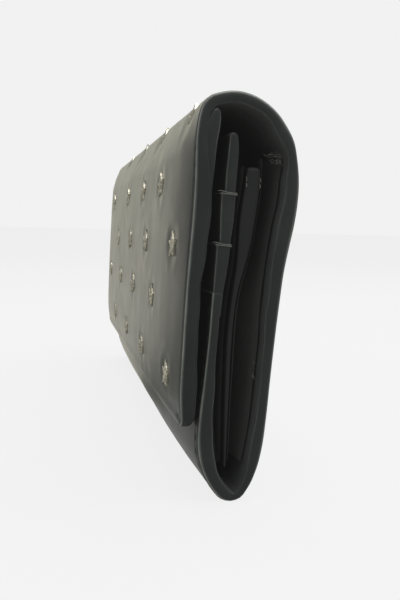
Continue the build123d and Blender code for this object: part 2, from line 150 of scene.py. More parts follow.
STUD_RADIUS = 3.7
STUD_HEIGHT = 0.72
STUD_WAIST = 0.4
STUD_TIP, STUD_NOTCH, STUD_FOOT = 0.4, 0.12, -0.35
FLAP_STUD_SINK, SPINE_STUD_SINK = 0.12, 0.6
FLAP_STUDS = {
    29.5: (79.0, 35.0, -9.0, -53.0), 47.5: (53.5, 10.0, -33.0, -79.0),
    63.2: (80.0, 37.5, -3.0, -47.0), 79.3: (60.5, 26.5, -17.0, -75.0),
}
SPINE_STUDS = (95.2, (82.0, 39.0, -4.0, -47.0))
STITCH_PITCH = 3.4
STITCH_LENGTH = 2.3
HEM_STITCH_HEIGHT = 78.6
UPPER_MOUTH, LOWER_MOUTH = 76.0, 63.8
FIBRE_COUNT = 46
FIBRE_STEP = 0.38

# Stage, light and camera, in metres. Stops go from light that comes from +X to light from -X.
BACKGROUND = 0.885
FLOOR_SEEN = 0.83
LIGHT_STOPS = [(0.1, (0.41, 0.435, 0.435)), (0.6, (0.5, 0.52, 0.53)), (0.9, (0.22, 0.225, 0.235)),
               (0.955, (0.42, 0.425, 0.4)), (0.98, (0.88, 0.86, 0.74)), (0.993, (1.0, 0.98, 0.82))]
FLOOR_STOPS = [(0.1, (0.44, 0.45, 0.43)), (0.6, (0.26, 0.26, 0.23)), (0.9, (0.24, 0.24, 0.215)),
               (0.955, (0.48, 0.48, 0.43)), (0.98, (0.82, 0.8, 0.68)), (0.993, (0.93, 0.9, 0.77))]
FLOOR_HALF = 60.0
LAMP_AT = Vector((0.0, 0.2, 0.9))
LAMP_TARGET = Vector((0, 0, 0.05))
CAMERA_AT = (0.2470, -0.0436, 0.0669)
CAMERA_RIGHT = (0.2203, 0.9751, 0.0238)
CAMERA_FORWARD = (-0.9695, 0.2216, -0.1046)
CAMERA_LENS = 39.6


# ---- section lines
class Section:
    """The outer and inner line of a sheet in the YZ plane, smooth through its rows."""

    def __init__(self, rows, fineness=12):
        rows = np.array(rows, float)
        middle = (rows[:, 0:2] + rows[:, 2:4]) / 2
        gaps = np.linalg.norm(np.diff(middle, axis=0), axis=1)
        slopes = np.diff(rows, axis=0) / gaps[:, None]
        before, after = gaps[:-1, None], gaps[1:, None]
        inside = (slopes[:-1] * after + slopes[1:] * before) / (before + after)
        tangents = np.vstack([slopes[:1], inside, slopes[-1:]])
        share = np.linspace(0, 1, fineness, endpoint=False)[:, None]
        pieces = []
        for i, gap in enumerate(gaps):
            start = (2 * share**3 - 3 * share**2 + 1) * rows[i]
            leave = (share**3 - 2 * share**2 + share) * gap * tangents[i]
            finish = (3 * share**2 - 2 * share**3) * rows[i + 1]
            arrive = (share**3 - share**2) * gap * tangents[i + 1]
            pieces.append(start + leave + finish + arrive)
        self.values = np.vstack([*pieces, rows[-1:]])
        centre = (self.values[:, 0:2] + self.values[:, 2:4]) / 2
        steps = np.linalg.norm(np.diff(centre, axis=0), axis=1)
        self.lengths = np.concatenate([[0], np.cumsum(steps)])
        self.knots = self.lengths[::fineness]
        self.length = self.lengths[-1]

    def at(self, along):
        """Rows (outer Y, outer Z, inner Y, inner Z) at lengths along the middle line."""
        return np.stack([np.interp(along, self.lengths, column) for column in self.values.T], axis=-1)

    def along_for_height(self, height, low, high):
        """The length at which the outer line has a height, between two lengths."""
        inside = (self.lengths >= low) & (self.lengths <= high)
        heights = self.values[inside, 1]
        lengths = self.lengths[inside]
        order = np.argsort(heights)
        return float(np.interp(height, heights[order], lengths[order]))


def smooth_step(value):
    value = np.clip(value, 0, 1)
    return value * value * (3 - 2 * value)


def noise_field(first, second, first_size, second_size, seed):
    """Smooth noise over two arrays of coordinates, from about -1 to 1."""
    places = zip((first / first_size).flat, (second / second_size).flat)
    flat = [noise.noise(Vector((a, b, seed))) for a, b in places]
    return np.array(flat).reshape(first.shape)


# ---- meshes
def stations(low, high, step, round_low=True, round_high=True):
    """Places from low to high, close together at the rounded ends."""
    start = low + EDGE_STEPS if round_low else np.array([low])
    stop = high - EDGE_STEPS[::-1] if round_high else np.array([high])
    count = max(2, int(round((stop[0] - start[-1]) / step)))
    return np.concatenate([start, np.linspace(start[-1], stop[0], count + 1)[1:-1], stop])


def edge_share(distance, radius, power=2.4):
    """Share of the full thickness at a distance from a rounded edge."""
    inside = np.clip(distance / radius, 0, 1)
    return (1 - (1 - inside) ** power) ** (1 / power)


def add_piece(name, vertices, faces, slots, materials, painted_highlight=None):
    """A mesh object in metres from millimetre vertices, with its resting place kept as an attribute."""
    mesh = bpy.data.meshes.new(name)
    mesh.from_pydata([tuple(v) for v in np.asarray(vertices) * MM], [], faces)
    for material in materials:
        mesh.materials.append(material)
    mesh.polygons.foreach_set("material_index", slots)
    # A painted highlight per vertex, which the leather materials mix in as a lighter colour.
    if painted_highlight is not None:
        layer = mesh.attributes.new("painted_highlight", "FLOAT", "POINT")
        layer.data.foreach_set("value", np.asarray(painted_highlight, np.float32))
    worked = bmesh.new()
    worked.from_mesh(mesh)
    bmesh.ops.remove_doubles(worked, verts=worked.verts, dist=1e-6)
    bmesh.ops.dissolve_degenerate(worked, edges=worked.edges, dist=1e-7)
    bmesh.ops.recalc_face_normals(worked, faces=worked.faces)
    worked.to_mesh(mesh)
    worked.free()
    mesh.shade_smooth()
    mesh.set_sharp_from_angle(angle=math.radians(52))
    rest = mesh.attributes.new("rest", "FLOAT_VECTOR", "POINT")
    places = np.zeros(len(mesh.vertices) * 3, np.float32)
    mesh.vertices.foreach_get("co", places)
    rest.data.foreach_set("vector", places)
    piece = bpy.data.objects.new(name, mesh)
    bpy.context.scene.collection.objects.link(piece)
    return piece


def closed_sheet(name, outer, inner, distance, radius, materials, inner_radius=None, highlight_gain=1.0,
                 extra_highlight=0.0):
    """A closed sheet between two grids of points, with edges rounded by distance from its border."""
    share = edge_share(distance, radius)[..., None]
    inner_share = edge_share(distance, inner_radius or radius)[..., None]
    middle = (outer + inner) / 2
    outer = middle + (outer - middle) * share
    inner = middle + (inner - middle) * inner_share
    rows, columns = distance.shape
    vertices = np.vstack([outer.reshape(-1, 3), inner.reshape(-1, 3)])
    index = np.arange(rows * columns).reshape(rows, columns)
    other = index + rows * columns
    faces, slots = [], []
    thick = share[..., 0]
    thin = np.minimum(np.minimum(thick[:-1, :-1], thick[1:, 1:]), np.minimum(thick[1:, :-1], thick[:-1, 1:]))
    for i in range(rows - 1):
        for j in range(columns - 1):
            band = thin[i, j] < RIM_SHARE
            faces.append((index[i, j], index[i, j + 1], index[i + 1, j + 1], index[i + 1, j]))
            slots.append(2 if band else 0)
            faces.append((other[i, j], other[i + 1, j], other[i + 1, j + 1], other[i, j + 1]))
            slots.append(2 if band else 1)
    borders = (0, -1, (slice(None), 0), (slice(None), -1))
    for border in borders:
        near, far = index[border], other[border]
        for k in range(len(near) - 1):
            faces.append((near[k], near[k + 1], far[k + 1], far[k]))
            slots.append(2)
    # Painted highlight: a lighter ring along the ridge of each rounded edge, weaker on the inner side.
    painted_highlight = highlight_gain * np.exp(-((distance - EDGE_HIGHLIGHT_LINE) / EDGE_HIGHLIGHT_WIDTH) ** 2)
    outer_highlight = np.clip(painted_highlight + extra_highlight, 0, 1)
    painted_highlight = np.concatenate([outer_highlight.reshape(-1), painted_highlight.reshape(-1) * 0.3])
    last = len(materials) - 1
    slots = [min(slot, last) for slot in slots]
    return add_piece(name, vertices, faces, slots, materials, painted_highlight)


def slab(name, section, length, materials, radius, low=0.0, high=None, rounded=(True, True), corners=(0, 0),
         far_corners=None, steps=(4.0, 2.0), relief=None, shift=None, inner_shift=None, centre=0.0,
         inner_radius=None, highlight_gain=1.0, ripple=0.0):
    """A sheet swept along X, from a whole section or from the part between two lengths of it.

    Relief lifts the outer side. Shift moves the sheet along Y; its inner side may have a shift of its own.
    Ripple makes the inner side uneven towards the ends.
    """
    half = length / 2
    high = section.length if high is None else high
    x_line = stations(-half, half, steps[0])
    s_line = stations(low, high, steps[1], *rounded)
    x, s = np.meshgrid(x_line, s_line, indexing="ij")
    trim = np.zeros_like(s)
    turns = [np.where(x < 0, far, near) for far, near in zip(far_corners or corners, corners)]
    for corner, from_end in ((turns[0], s - low), (turns[1], high - s)):
        trim += corner - np.sqrt(np.clip(corner**2 - np.clip(corner - from_end, 0, corner) ** 2, 0, None))
    reach = 3 * max(*corners, *(far_corners or corners), 1.0)
    x = x - np.sign(x) * trim * smooth_step((np.abs(x) - (half - reach)) / reach)
    side = half - np.abs(x)
    distance = side.copy()
    for corner, from_end, is_round in ((turns[0], s - low, rounded[0]), (turns[1], high - s, rounded[1])):
        if is_round:
            inside = (side < corner) & (from_end < corner)
            turned = corner - np.hypot(corner - side, corner - from_end)
            distance = np.minimum(distance, np.where(inside, turned, np.minimum(side, from_end)))
    distance = np.clip(distance, 0, None)
    rows = section.at(s)
    outer = np.stack([x + centre, rows[..., 0], rows[..., 1]], axis=-1)
    inner = np.stack([x + centre, rows[..., 2], rows[..., 3]], axis=-1)
    if shift is not None:
        outer[..., 1] += shift(x + centre, rows[..., 1])
        inner[..., 1] += (inner_shift or shift)(x + centre, rows[..., 3])
    facing = outer - inner
    facing /= np.linalg.norm(facing, axis=-1, keepdims=True)
    near_end = np.exp(-side / RIPPLE_REACH)
    inner = inner - facing * (ripple * near_end * noise_field(s, x + centre, 7.5, 30, 31.0))[..., None]
    if relief is not None:
        outer = outer + facing * relief(x + centre, s, distance)[..., None]
    # Painted highlight on the top rim of the ends, where light from above catches it.
    top_rim_highlight = TOP_HIGHLIGHT * np.exp(-(((side - TOP_HIGHLIGHT_LINE) / TOP_HIGHLIGHT_WIDTH) ** 2))
    top_rim_highlight = top_rim_highlight * smooth_step((outer[..., 2] - TOP_HIGHLIGHT_HEIGHT) / 8)
    return closed_sheet(name, outer, inner, distance, radius, materials, inner_radius, highlight_gain, top_rim_highlight)


def box_of(name):
    """The low and high corner of a CAD node's box."""
    return tuple(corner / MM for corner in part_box(name))


class Builder:
    """Collects the vertices and faces of many small parts of one piece."""

    def __init__(self):
        self.vertices = []
        self.faces = []

    def add(self, vertices, faces, place=None):
        start = len(self.vertices)
        for vertex in vertices:
            self.vertices.append(tuple(place @ Vector(vertex)) if place is not None else tuple(vertex))
        self.faces.extend([tuple(start + k for k in face) for face in faces])

    def tube(self, points, radii, sides=8):
        """A round thread through points, closed at both ends."""
        points = [Vector(p) for p in points]
        start = len(self.vertices)
        for k, point in enumerate(points):
            ahead = points[min(k + 1, len(points) - 1)] - points[max(k - 1, 0)]
            ahead.normalize()
            helper = Vector((0.13, 0.21, 0.97)) if abs(ahead.z) < 0.8 else Vector((0.97, 0.2, 0.1))
            across = ahead.cross(helper).normalized()
            up = across.cross(ahead)
            radius = radii[k] if hasattr(radii, "__len__") else radii
            for side in range(sides):
                angle = 2 * math.pi * side / sides
                offset = across * math.cos(angle) * radius + up * math.sin(angle) * radius
                self.vertices.append(tuple(point + offset))
        for k in range(len(points) - 1):
            for side in range(sides):
                a = start + k * sides + side
                b = start + k * sides + (side + 1) % sides
                self.faces.append((a, b, b + sides, a + sides))
        self.faces.append(tuple(start + side for side in reversed(range(sides))))
        last = start + (len(points) - 1) * sides
        self.faces.append(tuple(last + side for side in range(sides)))

    def finish(self, name, material):
        return add_piece(name, self.vertices, self.faces, [0] * len(self.faces), [material])


# ---- materials
def new_material(name, rough, metallic=0.0, specular=0.5, colour=(0.5, 0.5, 0.5)):
    """A material with its Principled shader, and the nodes and links to add to it."""
    material = bpy.data.materials.new(name)
    material.use_nodes = True
    tree = material.node_tree
    shader = tree.nodes["Principled BSDF"]
    shader.inputs["Roughness"].default_value = rough
    shader.inputs["Metallic"].default_value = metallic
    shader.inputs["Specular IOR Level"].default_value = specular
    shader.inputs["Base Color"].default_value = (*colour, 1)
    material.diffuse_color = (*colour, 1)
    return material, tree, shader


def node(tree, kind, inputs=None, **settings):
    """A shader node with its settings and plain input values."""
    made = tree.nodes.new(kind)
    for key, value in settings.items():
        setattr(made, key, value)
    for key, value in (inputs or {}).items():
        made.inputs[key].default_value = value
    return made


def place_node(tree, own_mesh=True):
    """Where a point of the surface rests: an attribute of this script's meshes, or a CAD node's own place."""
    if own_mesh:
        return node(tree, "ShaderNodeAttribute", attribute_name="rest").outputs["Vector"]
    return node(tree, "ShaderNodeTexCoord").outputs["Object"]


def ramp(tree, factor, stops):
    """A colour ramp from (position, colour) stops."""
    made = tree.nodes.new("ShaderNodeValToRGB")
    while len(made.color_ramp.elements) < len(stops):
        made.color_ramp.elements.new(0.5)
    for element, (position, colour) in zip(made.color_ramp.elements, stops):
        element.position = position
        element.color = (*colour, 1)
    tree.links.new(factor, made.inputs["Fac"])
    return made.outputs["Color"]


def bump_layers(tree, shader, layers):
    """Bumps on a shader, one on top of the other, from (height, strength, distance) rows."""
    normal = None
    for height, strength, distance in layers:
        bump = node(tree, "ShaderNodeBump", {"Strength": strength, "Distance": distance})
        tree.links.new(height, bump.inputs["Height"])
        if normal is not None:
            tree.links.new(normal, bump.inputs["Normal"])
        normal = bump.outputs["Normal"]
    tree.links.new(normal, shader.inputs["Normal"])


def leather(name, dark, light, rough, grain, bump, highlight_colour=None, tint=(1, 1, 1), specular=0.5):
    """Leather: pores and creases in the bump, cloudy colour, and a painted highlight colour along the edges,
    broken up in patches.
    """
    material, tree, shader = new_material(name, rough[0], specular=specular, colour=light)
    shader.inputs["Specular Tint"].default_value = (*tint, 1)
    link = tree.links.new
    place = place_node(tree)
    cloud = node(tree, "ShaderNodeTexNoise", {"Scale": 38.0, "Detail": 5.0, "Roughness": 0.55})
    pores = node(tree, "ShaderNodeTexVoronoi", {"Scale": grain}, feature="DISTANCE_TO_EDGE")
    fine = node(tree, "ShaderNodeTexNoise", {"Scale": grain * 1.7, "Detail": 4.0, "Roughness": 0.6})
    crease = node(tree, "ShaderNodeTexNoise",
                  {"Scale": 110.0, "Detail": 6.0, "Roughness": 0.6, "Distortion": 0.4})
    for texture in (cloud, pores, fine, crease):
        link(place, texture.inputs["Vector"])
    colour = ramp(tree, cloud.outputs["Fac"], [(0.3, dark), (0.72, light)])
    # Painted highlight along the edge ridges: the per-vertex amount, broken up by the crease noise, mixes in
    # a lighter colour.
    if highlight_colour is not None:
        rim = node(tree, "ShaderNodeAttribute", attribute_name="painted_highlight")
        patchy = node(tree, "ShaderNodeMath", {1: 1.7}, operation="MULTIPLY")
        link(crease.outputs["Fac"], patchy.inputs[0])
        amount = node(tree, "ShaderNodeMath", operation="MULTIPLY", use_clamp=True)
        link(patchy.outputs[0], amount.inputs[0])
        link(rim.outputs["Fac"], amount.inputs[1])
        mixed = node(tree, "ShaderNodeMix", data_type="RGBA")
        link(amount.outputs[0], mixed.inputs["Factor"])
        link(colour, mixed.inputs[6])
        mixed.inputs[7].default_value = (*highlight_colour, 1)
        colour = mixed.outputs[2]
    link(colour, shader.inputs["Base Color"])
    gloss = node(tree, "ShaderNodeMapRange", {"To Min": rough[0], "To Max": rough[1]})
    link(crease.outputs["Fac"], gloss.inputs["Value"])
    link(gloss.outputs["Result"], shader.inputs["Roughness"])
    bump_layers(tree, shader, [(crease.outputs["Fac"], bump * 0.7, 0.0004),
                               (fine.outputs["Fac"], bump * 0.8, 0.00006),
                               (pores.outputs["Distance"], bump, 0.00012)])
    return material


def metal(name, dark, light, rough, own_mesh, scale=900.0):
    """Plated metal with a light brushed and tarnished variation."""
    material, tree, shader = new_material(name, rough[0], metallic=1.0, colour=light)
    link = tree.links.new
    place = place_node(tree, own_mesh)
    tarnish = node(tree, "ShaderNodeTexNoise", {"Scale": scale, "Detail": 5.0, "Roughness": 0.6})
    scratches = node(tree, "ShaderNodeTexNoise", {"Scale": scale * 3.1, "Detail": 3.0})
    link(place, tarnish.inputs["Vector"])
    link(place, scratches.inputs["Vector"])
    link(ramp(tree, tarnish.outputs["Fac"], [(0.34, dark), (0.62, light)]), shader.inputs["Base Color"])
    gloss = node(tree, "ShaderNodeMapRange", {"To Min": rough[0], "To Max": rough[1]})
    link(tarnish.outputs["Fac"], gloss.inputs["Value"])
    link(gloss.outputs["Result"], shader.inputs["Roughness"])
    bump_layers(tree, shader, [(scratches.outputs["Fac"], 0.25, 0.00005)])
    return material


def woven(name, dark, light, scale):
    """Woven tape or twisted thread: fine crossing waves in colour and bump."""
    material, tree, shader = new_material(name, 0.8, specular=0.25, colour=light)
    link = tree.links.new
    place = place_node(tree)
    warp = node(tree, "ShaderNodeTexWave", {"Scale": scale, "Distortion": 0.6}, bands_direction="X")
    weft = node(tree, "ShaderNodeTexWave", {"Scale": scale, "Distortion": 0.6}, bands_direction="Z")
    link(place, warp.inputs["Vector"])
    link(place, weft.inputs["Vector"])
    crossed = node(tree, "ShaderNodeMath", operation="MULTIPLY")
    link(warp.outputs["Fac"], crossed.inputs[0])
    link(weft.outputs["Fac"], crossed.inputs[1])
    link(ramp(tree, crossed.outputs[0], [(0.0, dark), (0.8, light)]), shader.inputs["Base Color"])
    bump_layers(tree, shader, [(crossed.outputs[0], 0.6, 0.0001)])
    return material


WARM = (1.0, 0.985, 0.91)
# Colour of the painted highlight along the edge ridges
EDGE_HIGHLIGHT_COLOUR = (0.34, 0.35, 0.32)
cover_mat = leather("cover_leather", (0.008, 0.0085, 0.008), (0.020, 0.020, 0.018), (0.24, 0.36), 1500.0,
                    0.22, highlight_colour=EDGE_HIGHLIGHT_COLOUR, tint=WARM)
edge_mat = leather("edge_leather", (0.008, 0.009, 0.0088), (0.026, 0.028, 0.0275), (0.55, 0.7), 1900.0, 0.6,
                   highlight_colour=EDGE_HIGHLIGHT_COLOUR, specular=0.35)
# The lining and gusset leathers are lightened as painted fill light, so the shaded insides don't go black.
lining_mat = leather("lining_leather", (0.05, 0.052, 0.05), (0.085, 0.088, 0.084), (0.5, 0.62), 1300.0, 0.35)
gusset_mat = leather("gusset_leather", (0.024, 0.024, 0.023), (0.055, 0.055, 0.052), (0.65, 0.8), 1700.0, 0.6,
                     specular=0.25)
# The panel and pocket leathers take a dimmer painted highlight along their edges.
panel_mat = leather("panel_leather", (0.011, 0.0115, 0.0115), (0.027, 0.028, 0.027), (0.48, 0.62), 1700.0,
                    0.35, highlight_colour=(0.05, 0.046, 0.036))
pocket_mat = leather("pocket_leather", (0.005, 0.0052, 0.005), (0.011, 0.0115, 0.011), (0.52, 0.66), 1700.0,
                     0.35, highlight_colour=(0.04, 0.038, 0.032), specular=0.35)
stud_mat = metal("stud_metal", (0.3, 0.27, 0.19), (0.9, 0.85, 0.7), (0.26, 0.44), True, 1300.0)
hardware_mat = metal("hardware_metal", (0.42, 0.41, 0.38), (0.80, 0.79, 0.76), (0.22, 0.4), False)
thread_mat = woven("thread_dark", (0.012, 0.012, 0.011), (0.05, 0.048, 0.043), 3000.0)
light_thread_mat = woven("thread_light", (0.16, 0.16, 0.145), (0.42, 0.42, 0.38), 3000.0)
tape_mat = woven("zip_tape_weave", (0.008, 0.008, 0.009), (0.035, 0.035, 0.037), 1400.0)

# ---- the leather wrap
wrap = Section(WRAP)
crest = wrap.knots[CREST_ROW]
bottom = wrap.knots[BOTTOM_ROW]

flap_stud_places = [
    (x, wrap.along_for_height(height, 0, crest)) for height, row in FLAP_STUDS.items() for x in row
]
spine_height, spine_row = SPINE_STUDS
spine_stud_places = [(x, wrap.along_for_height(spine_height, 0, crest)) for x in spine_row]
snap_low, snap_high = box_of("snap_socket")
snap_height = (snap_low.z + snap_high.z) / 2


def along_bulge(x):
    """A bulge's share along the wallet: none at the near end, and most of it kept at the far one."""
    near = np.clip(WALLET_LENGTH / 2 - x, 0, None)
    far = np.clip(WALLET_LENGTH / 2 + x, 0, None)
    return (1 - np.exp(-near / 14)) * (1 - 0.25 * np.exp(-far / 14))


def snap_pull(x, z):
    """Share by which the snap fastener holds the leather down round itself."""
    return np.exp(-(x**2 + (z - snap_height) ** 2) / SNAP_REACH**2)


def flap_bulge(x, z):
    """The padded flap stands further out in its middle than at its end."""
    return -np.interp(z, BULGE_HEIGHTS, FLAP_BULGE) * along_bulge(x)


def facing_bulge(x, z):
    """The flap's inner side follows its outer one a little less, and not at the snap."""
    return 0.8 * flap_bulge(x, z) * (1 - snap_pull(x, z))


def front_bulge(x, z):
    """The front stands out over what the pockets hold, less towards the far end."""
    far_share = 1 - 0.8 * np.exp(-np.clip(WALLET_LENGTH / 2 + x, 0, None) / 30)
    share = along_bulge(x) * far_share * (1 - snap_pull(x, z))
    return -np.interp(z, FRONT_BULGE_HEIGHTS, FRONT_BULGE) * share


def margin(distance, groove_at, depth, swell):
    """A pressed groove along the edge and a swollen margin outside it."""
    groove = -depth * np.exp(-((distance - groove_at) / 0.3) ** 2)
    piping = swell * np.exp(-((distance - groove_at * 0.5) / (groove_at * 0.36)) ** 2)
    return groove + piping


def puckers(x, s, places):
    """Leather drawn in round each stud, with short creases between its points."""
    lift = np.zeros_like(x)
    for stud_x, stud_s in places:
        far = np.hypot(x - stud_x, s - stud_s)
        turn = np.arctan2(s - stud_s, x - stud_x)
        creases = 1 + 0.35 * np.cos(5 * turn + stud_x)
        lift += 0.1 * creases * np.exp(-(((far - 6.2) / 1.9) ** 2))
        lift -= PUCKER_DEPTH * np.exp(-((far / 4.4) ** 2))
    return lift


def flap_relief(x, s, distance):
    """The flap's outer side: slow waves, a groove along its edges and puckers round the studs."""
    slow = 0.11 * noise_field(x, s, 17, 75, 1.0)
    quick = 0.045 * noise_field(x, s, 6.5, 26, 4.0)
    below = smooth_step((WALLET_LENGTH / 2 - np.abs(x) - s + 2) / 4)
    groove_at = EDGE_GROOVE + (FLAP_GROOVE - EDGE_GROOVE) * below
    edge = margin(distance, groove_at, 0.1 + 0.38 * below, 0.12 + 0.2 * below)
    edge = edge * smooth_step((crest - 12 - s) / 6)
    calm = smooth_step((crest - s) / 8)
    return (slow + quick) * calm + edge + puckers(x, s, flap_stud_places + spine_stud_places)


def body_relief(x, s, distance):
    """The outer side of the back and front: slow waves and a groove along the stitches."""
    slow = 0.1 * noise_field(x, s, 21, 60, 9.0)
    quick = 0.04 * noise_field(x, s, 7, 24, 13.0)
    calm = smooth_step((s - crest) / 8)
    groove = margin(distance, BODY_GROOVE, 0.26, 0.12) * smooth_step((s - crest - 12) / 8)
    return (slow + quick) * calm + groove


leather_slots = [cover_mat, lining_mat, edge_mat]
flap_leather = slab("flap_leather", wrap, WALLET_LENGTH, leather_slots, 1.15, high=crest,
                    rounded=(True, False), corners=(3.8, 0), far_corners=(6.0, 0), steps=(1.25, 1.25),
                    relief=flap_relief, shift=flap_bulge, inner_radius=0.45, ripple=0.45)
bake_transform(flap_leather)
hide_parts("flap_cover", "flap_filler", "spine_cover")

back_leather = slab("back_leather", wrap, WALLET_LENGTH, leather_slots, 1.2, low=crest, high=bottom,
                    rounded=(False, False), steps=(2.0, 0.9), relief=body_relief, highlight_gain=0.6, ripple=0.6)
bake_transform(back_leather)
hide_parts("back_cover", "bottom_fold")

front_leather = slab("front_leather", wrap, WALLET_LENGTH - 0.2, leather_slots, 1.1, low=bottom,
                     rounded=(False, True), corners=(0, 1.2), steps=(2.0, 0.9), relief=body_relief,
                     shift=front_bulge, highlight_gain=0.8, ripple=0.5)
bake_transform(front_leather)
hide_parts("front_cover")

# ---- flap facing, front panel and slots
panel_slots = [panel_mat, lining_mat, edge_mat]
lining_slots = [lining_mat, lining_mat, edge_mat]
flap_facing = slab("flap_facing", Section(FACING), WALLET_LENGTH - 0.3, lining_slots, 0.22,
                   corners=(3.6, 1.0), steps=(2.4, 2.0), shift=flap_bulge, inner_shift=facing_bulge,
                   inner_radius=0.7, ripple=0.7)
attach(flap_facing, "flap")
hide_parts("flap_lining")

for name, rows, node_name, length, radius in (
        ("front_panel_leather", FRONT_WALL, "front_panel", FRONT_LENGTH - 1.0, 0.8),
        ("slot_upper_leather", TIER_UPPER, "slot_tier_upper", FRONT_LENGTH - 0.5, 0.7),
        ("slot_lower_leather", TIER_LOWER, "slot_tier_lower", FRONT_LENGTH, 0.7)):
    piece = slab(name, Section(rows), length, panel_slots, radius, corners=(0, 1.0),
                 shift=None if name.startswith("front") else front_bulge, highlight_gain=0.5, ripple=0.4)
    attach(piece, "front")
    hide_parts(node_name)

# ---- studs
def star_template():
    """Vertices and faces of one domed five-pointed stud, ridged to its points."""
    shape = bmesh.new()
    top = shape.verts.new((0, 0, STUD_HEIGHT))
    rim, foot = [], []
    for tip in range(10):
        reach = STUD_RADIUS * (STUD_WAIST if tip % 2 else 1.0)
        angle = math.radians(90 + 36 * tip)
        across = (reach * math.cos(angle), reach * math.sin(angle))
        rim.append(shape.verts.new((*across, STUD_NOTCH if tip % 2 else STUD_TIP)))
        foot.append(shape.verts.new((*across, STUD_FOOT)))
    for tip in range(10):
        after = (tip + 1) % 10
        shape.faces.new((top, rim[tip], rim[after]))
        shape.faces.new((rim[tip], foot[tip], foot[after], rim[after]))
    shape.faces.new(list(reversed(foot)))
    bmesh.ops.recalc_face_normals(shape, faces=shape.faces)
    sharp = [edge for edge in shape.edges if min(v.co.z for v in edge.verts) > 0]
    bmesh.ops.bevel(shape, geom=sharp, offset=0.07, segments=2, affect="EDGES", profile=0.6)
    shape.verts.index_update()
    vertices = [tuple(v.co) for v in shape.verts]
    faces = [tuple(v.index for v in face.verts) for face in shape.faces]
    shape.free()
    return vertices, faces


def surface_frame(section, x, along, shift=None, lift=0.0, turn=0.0):
    """A placing matrix on a section's outer line: local Z points out of the sheet, local Y up it."""
    step = 0.5
    here, before, after = section.at(along), section.at(along - step), section.at(along + step)
    moved = float(shift(np.array(x), np.array(here[1]))) if shift is not None else 0.0
    up = Vector((0, after[0] - before[0], after[1] - before[1])).normalized()
    across = Vector((1, 0, 0))
    out = across.cross(up)
    if out.dot(Vector((0, here[0] - here[2], here[1] - here[3]))) < 0:
        across = -across
        out = -out
    centre = Vector((x, here[0] + moved, here[1])) + out * lift
    turned = Matrix((across, up, out)).transposed().to_4x4()
    return Matrix.Translation(centre) @ turned @ Matrix.Rotation(turn, 4, "Z")


star = star_template()
flap_studs = Builder()
for number, (x, along) in enumerate(flap_stud_places):
    turn = math.radians(9 * math.sin(number * 2.7))
    flap_studs.add(*star, surface_frame(wrap, x, along, flap_bulge, -FLAP_STUD_SINK, turn))
flap_studs = flap_studs.finish("flap_star_studs_faceted", stud_mat)
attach(flap_studs, "flap")
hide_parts("flap_star_studs")

spine_studs = Builder()
for number, (x, along) in enumerate(spine_stud_places):
    turn = math.radians(8 * math.cos(number * 1.9))
    spine_studs.add(*star, surface_frame(wrap, x, along, flap_bulge, -SPINE_STUD_SINK, turn))
spine_studs = spine_studs.finish("spine_star_studs_faceted", stud_mat)
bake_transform(spine_studs)
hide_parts("spine_star_studs")

# ---- coin pocket
divider_line = Section(DIVIDER)


def layer(section, outer_share, inner_share):
    """A section between two shares of another one's thickness, from 0 at its outer line to 1."""
    rows = section.values[::6]
    outer = rows[:, 0:2] + (rows[:, 2:4] - rows[:, 0:2]) * outer_share
    inner = rows[:, 0:2] + (rows[:, 2:4] - rows[:, 0:2]) * inner_share
    return Section(np.hstack([outer, inner]), fineness=4)


window_low = divider_line.along_for_height(WINDOW_LOW, 0, divider_line.length)
window_high = divider_line.along_for_height(WINDOW_HIGH, 0, divider_line.length)
pocket_slots = [pocket_mat, lining_mat, pocket_mat]
front_wall = layer(divider_line, 0.0, 0.26)
back_wall = layer(divider_line, 0.72, 1.0)
coin_front = slab("coin_pocket_front", front_wall, DIVIDER_LENGTH - 0.4, pocket_slots, 0.35,
                  high=front_wall.length - 0.3, steps=(4.0, 2.5))
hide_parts("coin_wall_front")
coin_back = slab("coin_pocket_back", back_wall, DIVIDER_LENGTH - 0.4, pocket_slots, 0.3, high=window_low,
                 steps=(4.0, 2.5))
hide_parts("coin_wall_back")
coin_hem = slab("coin_pocket_hem", divider_line, DIVIDER_LENGTH, pocket_slots, 0.6, low=window_high,
                corners=(0, 1.2), steps=(3.0, 1.2))
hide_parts("coin_wall_hem")
coin_pieces = [coin_front, coin_back, coin_hem]
for name, side in (("coin_pocket_side_left", -1), ("coin_pocket_side_right", 1)):
    coin_pieces.append(slab(name, divider_line, POCKET_SIDE, pocket_slots, 0.55, high=window_high + 1.0,
                            steps=(2.5, 2.0), centre=side * (DIVIDER_LENGTH - POCKET_SIDE) / 2))
for piece in coin_pieces:
    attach(piece, "divider")


# ---- gussets
def height_line(section, column, low=0.0, high=math.inf):
    """Y at a height on a section's outer (column 0) or inner (column 2) line, as a function."""
    inside = (section.lengths >= low) & (section.lengths <= high)
    heights = section.values[inside, column + 1]
    values = section.values[inside, column]
    order = np.argsort(heights)
    return lambda z: np.interp(z, heights[order], values[order])


front_inner_low = height_line(wrap, 2, bottom, wrap.knots[-6])
front_inner_high = height_line(Section(FRONT_WALL), 2)
back_inner = height_line(wrap, 2, crest, bottom)
divider_outer = height_line(divider_line, 0)
divider_inner = height_line(divider_line, 2)


def front_inner(z):
    """The front's inner side: the leather wrap's low down, and the front panel's above it."""
    return np.where(z < PANEL_FROM, front_inner_low(z), front_inner_high(z))


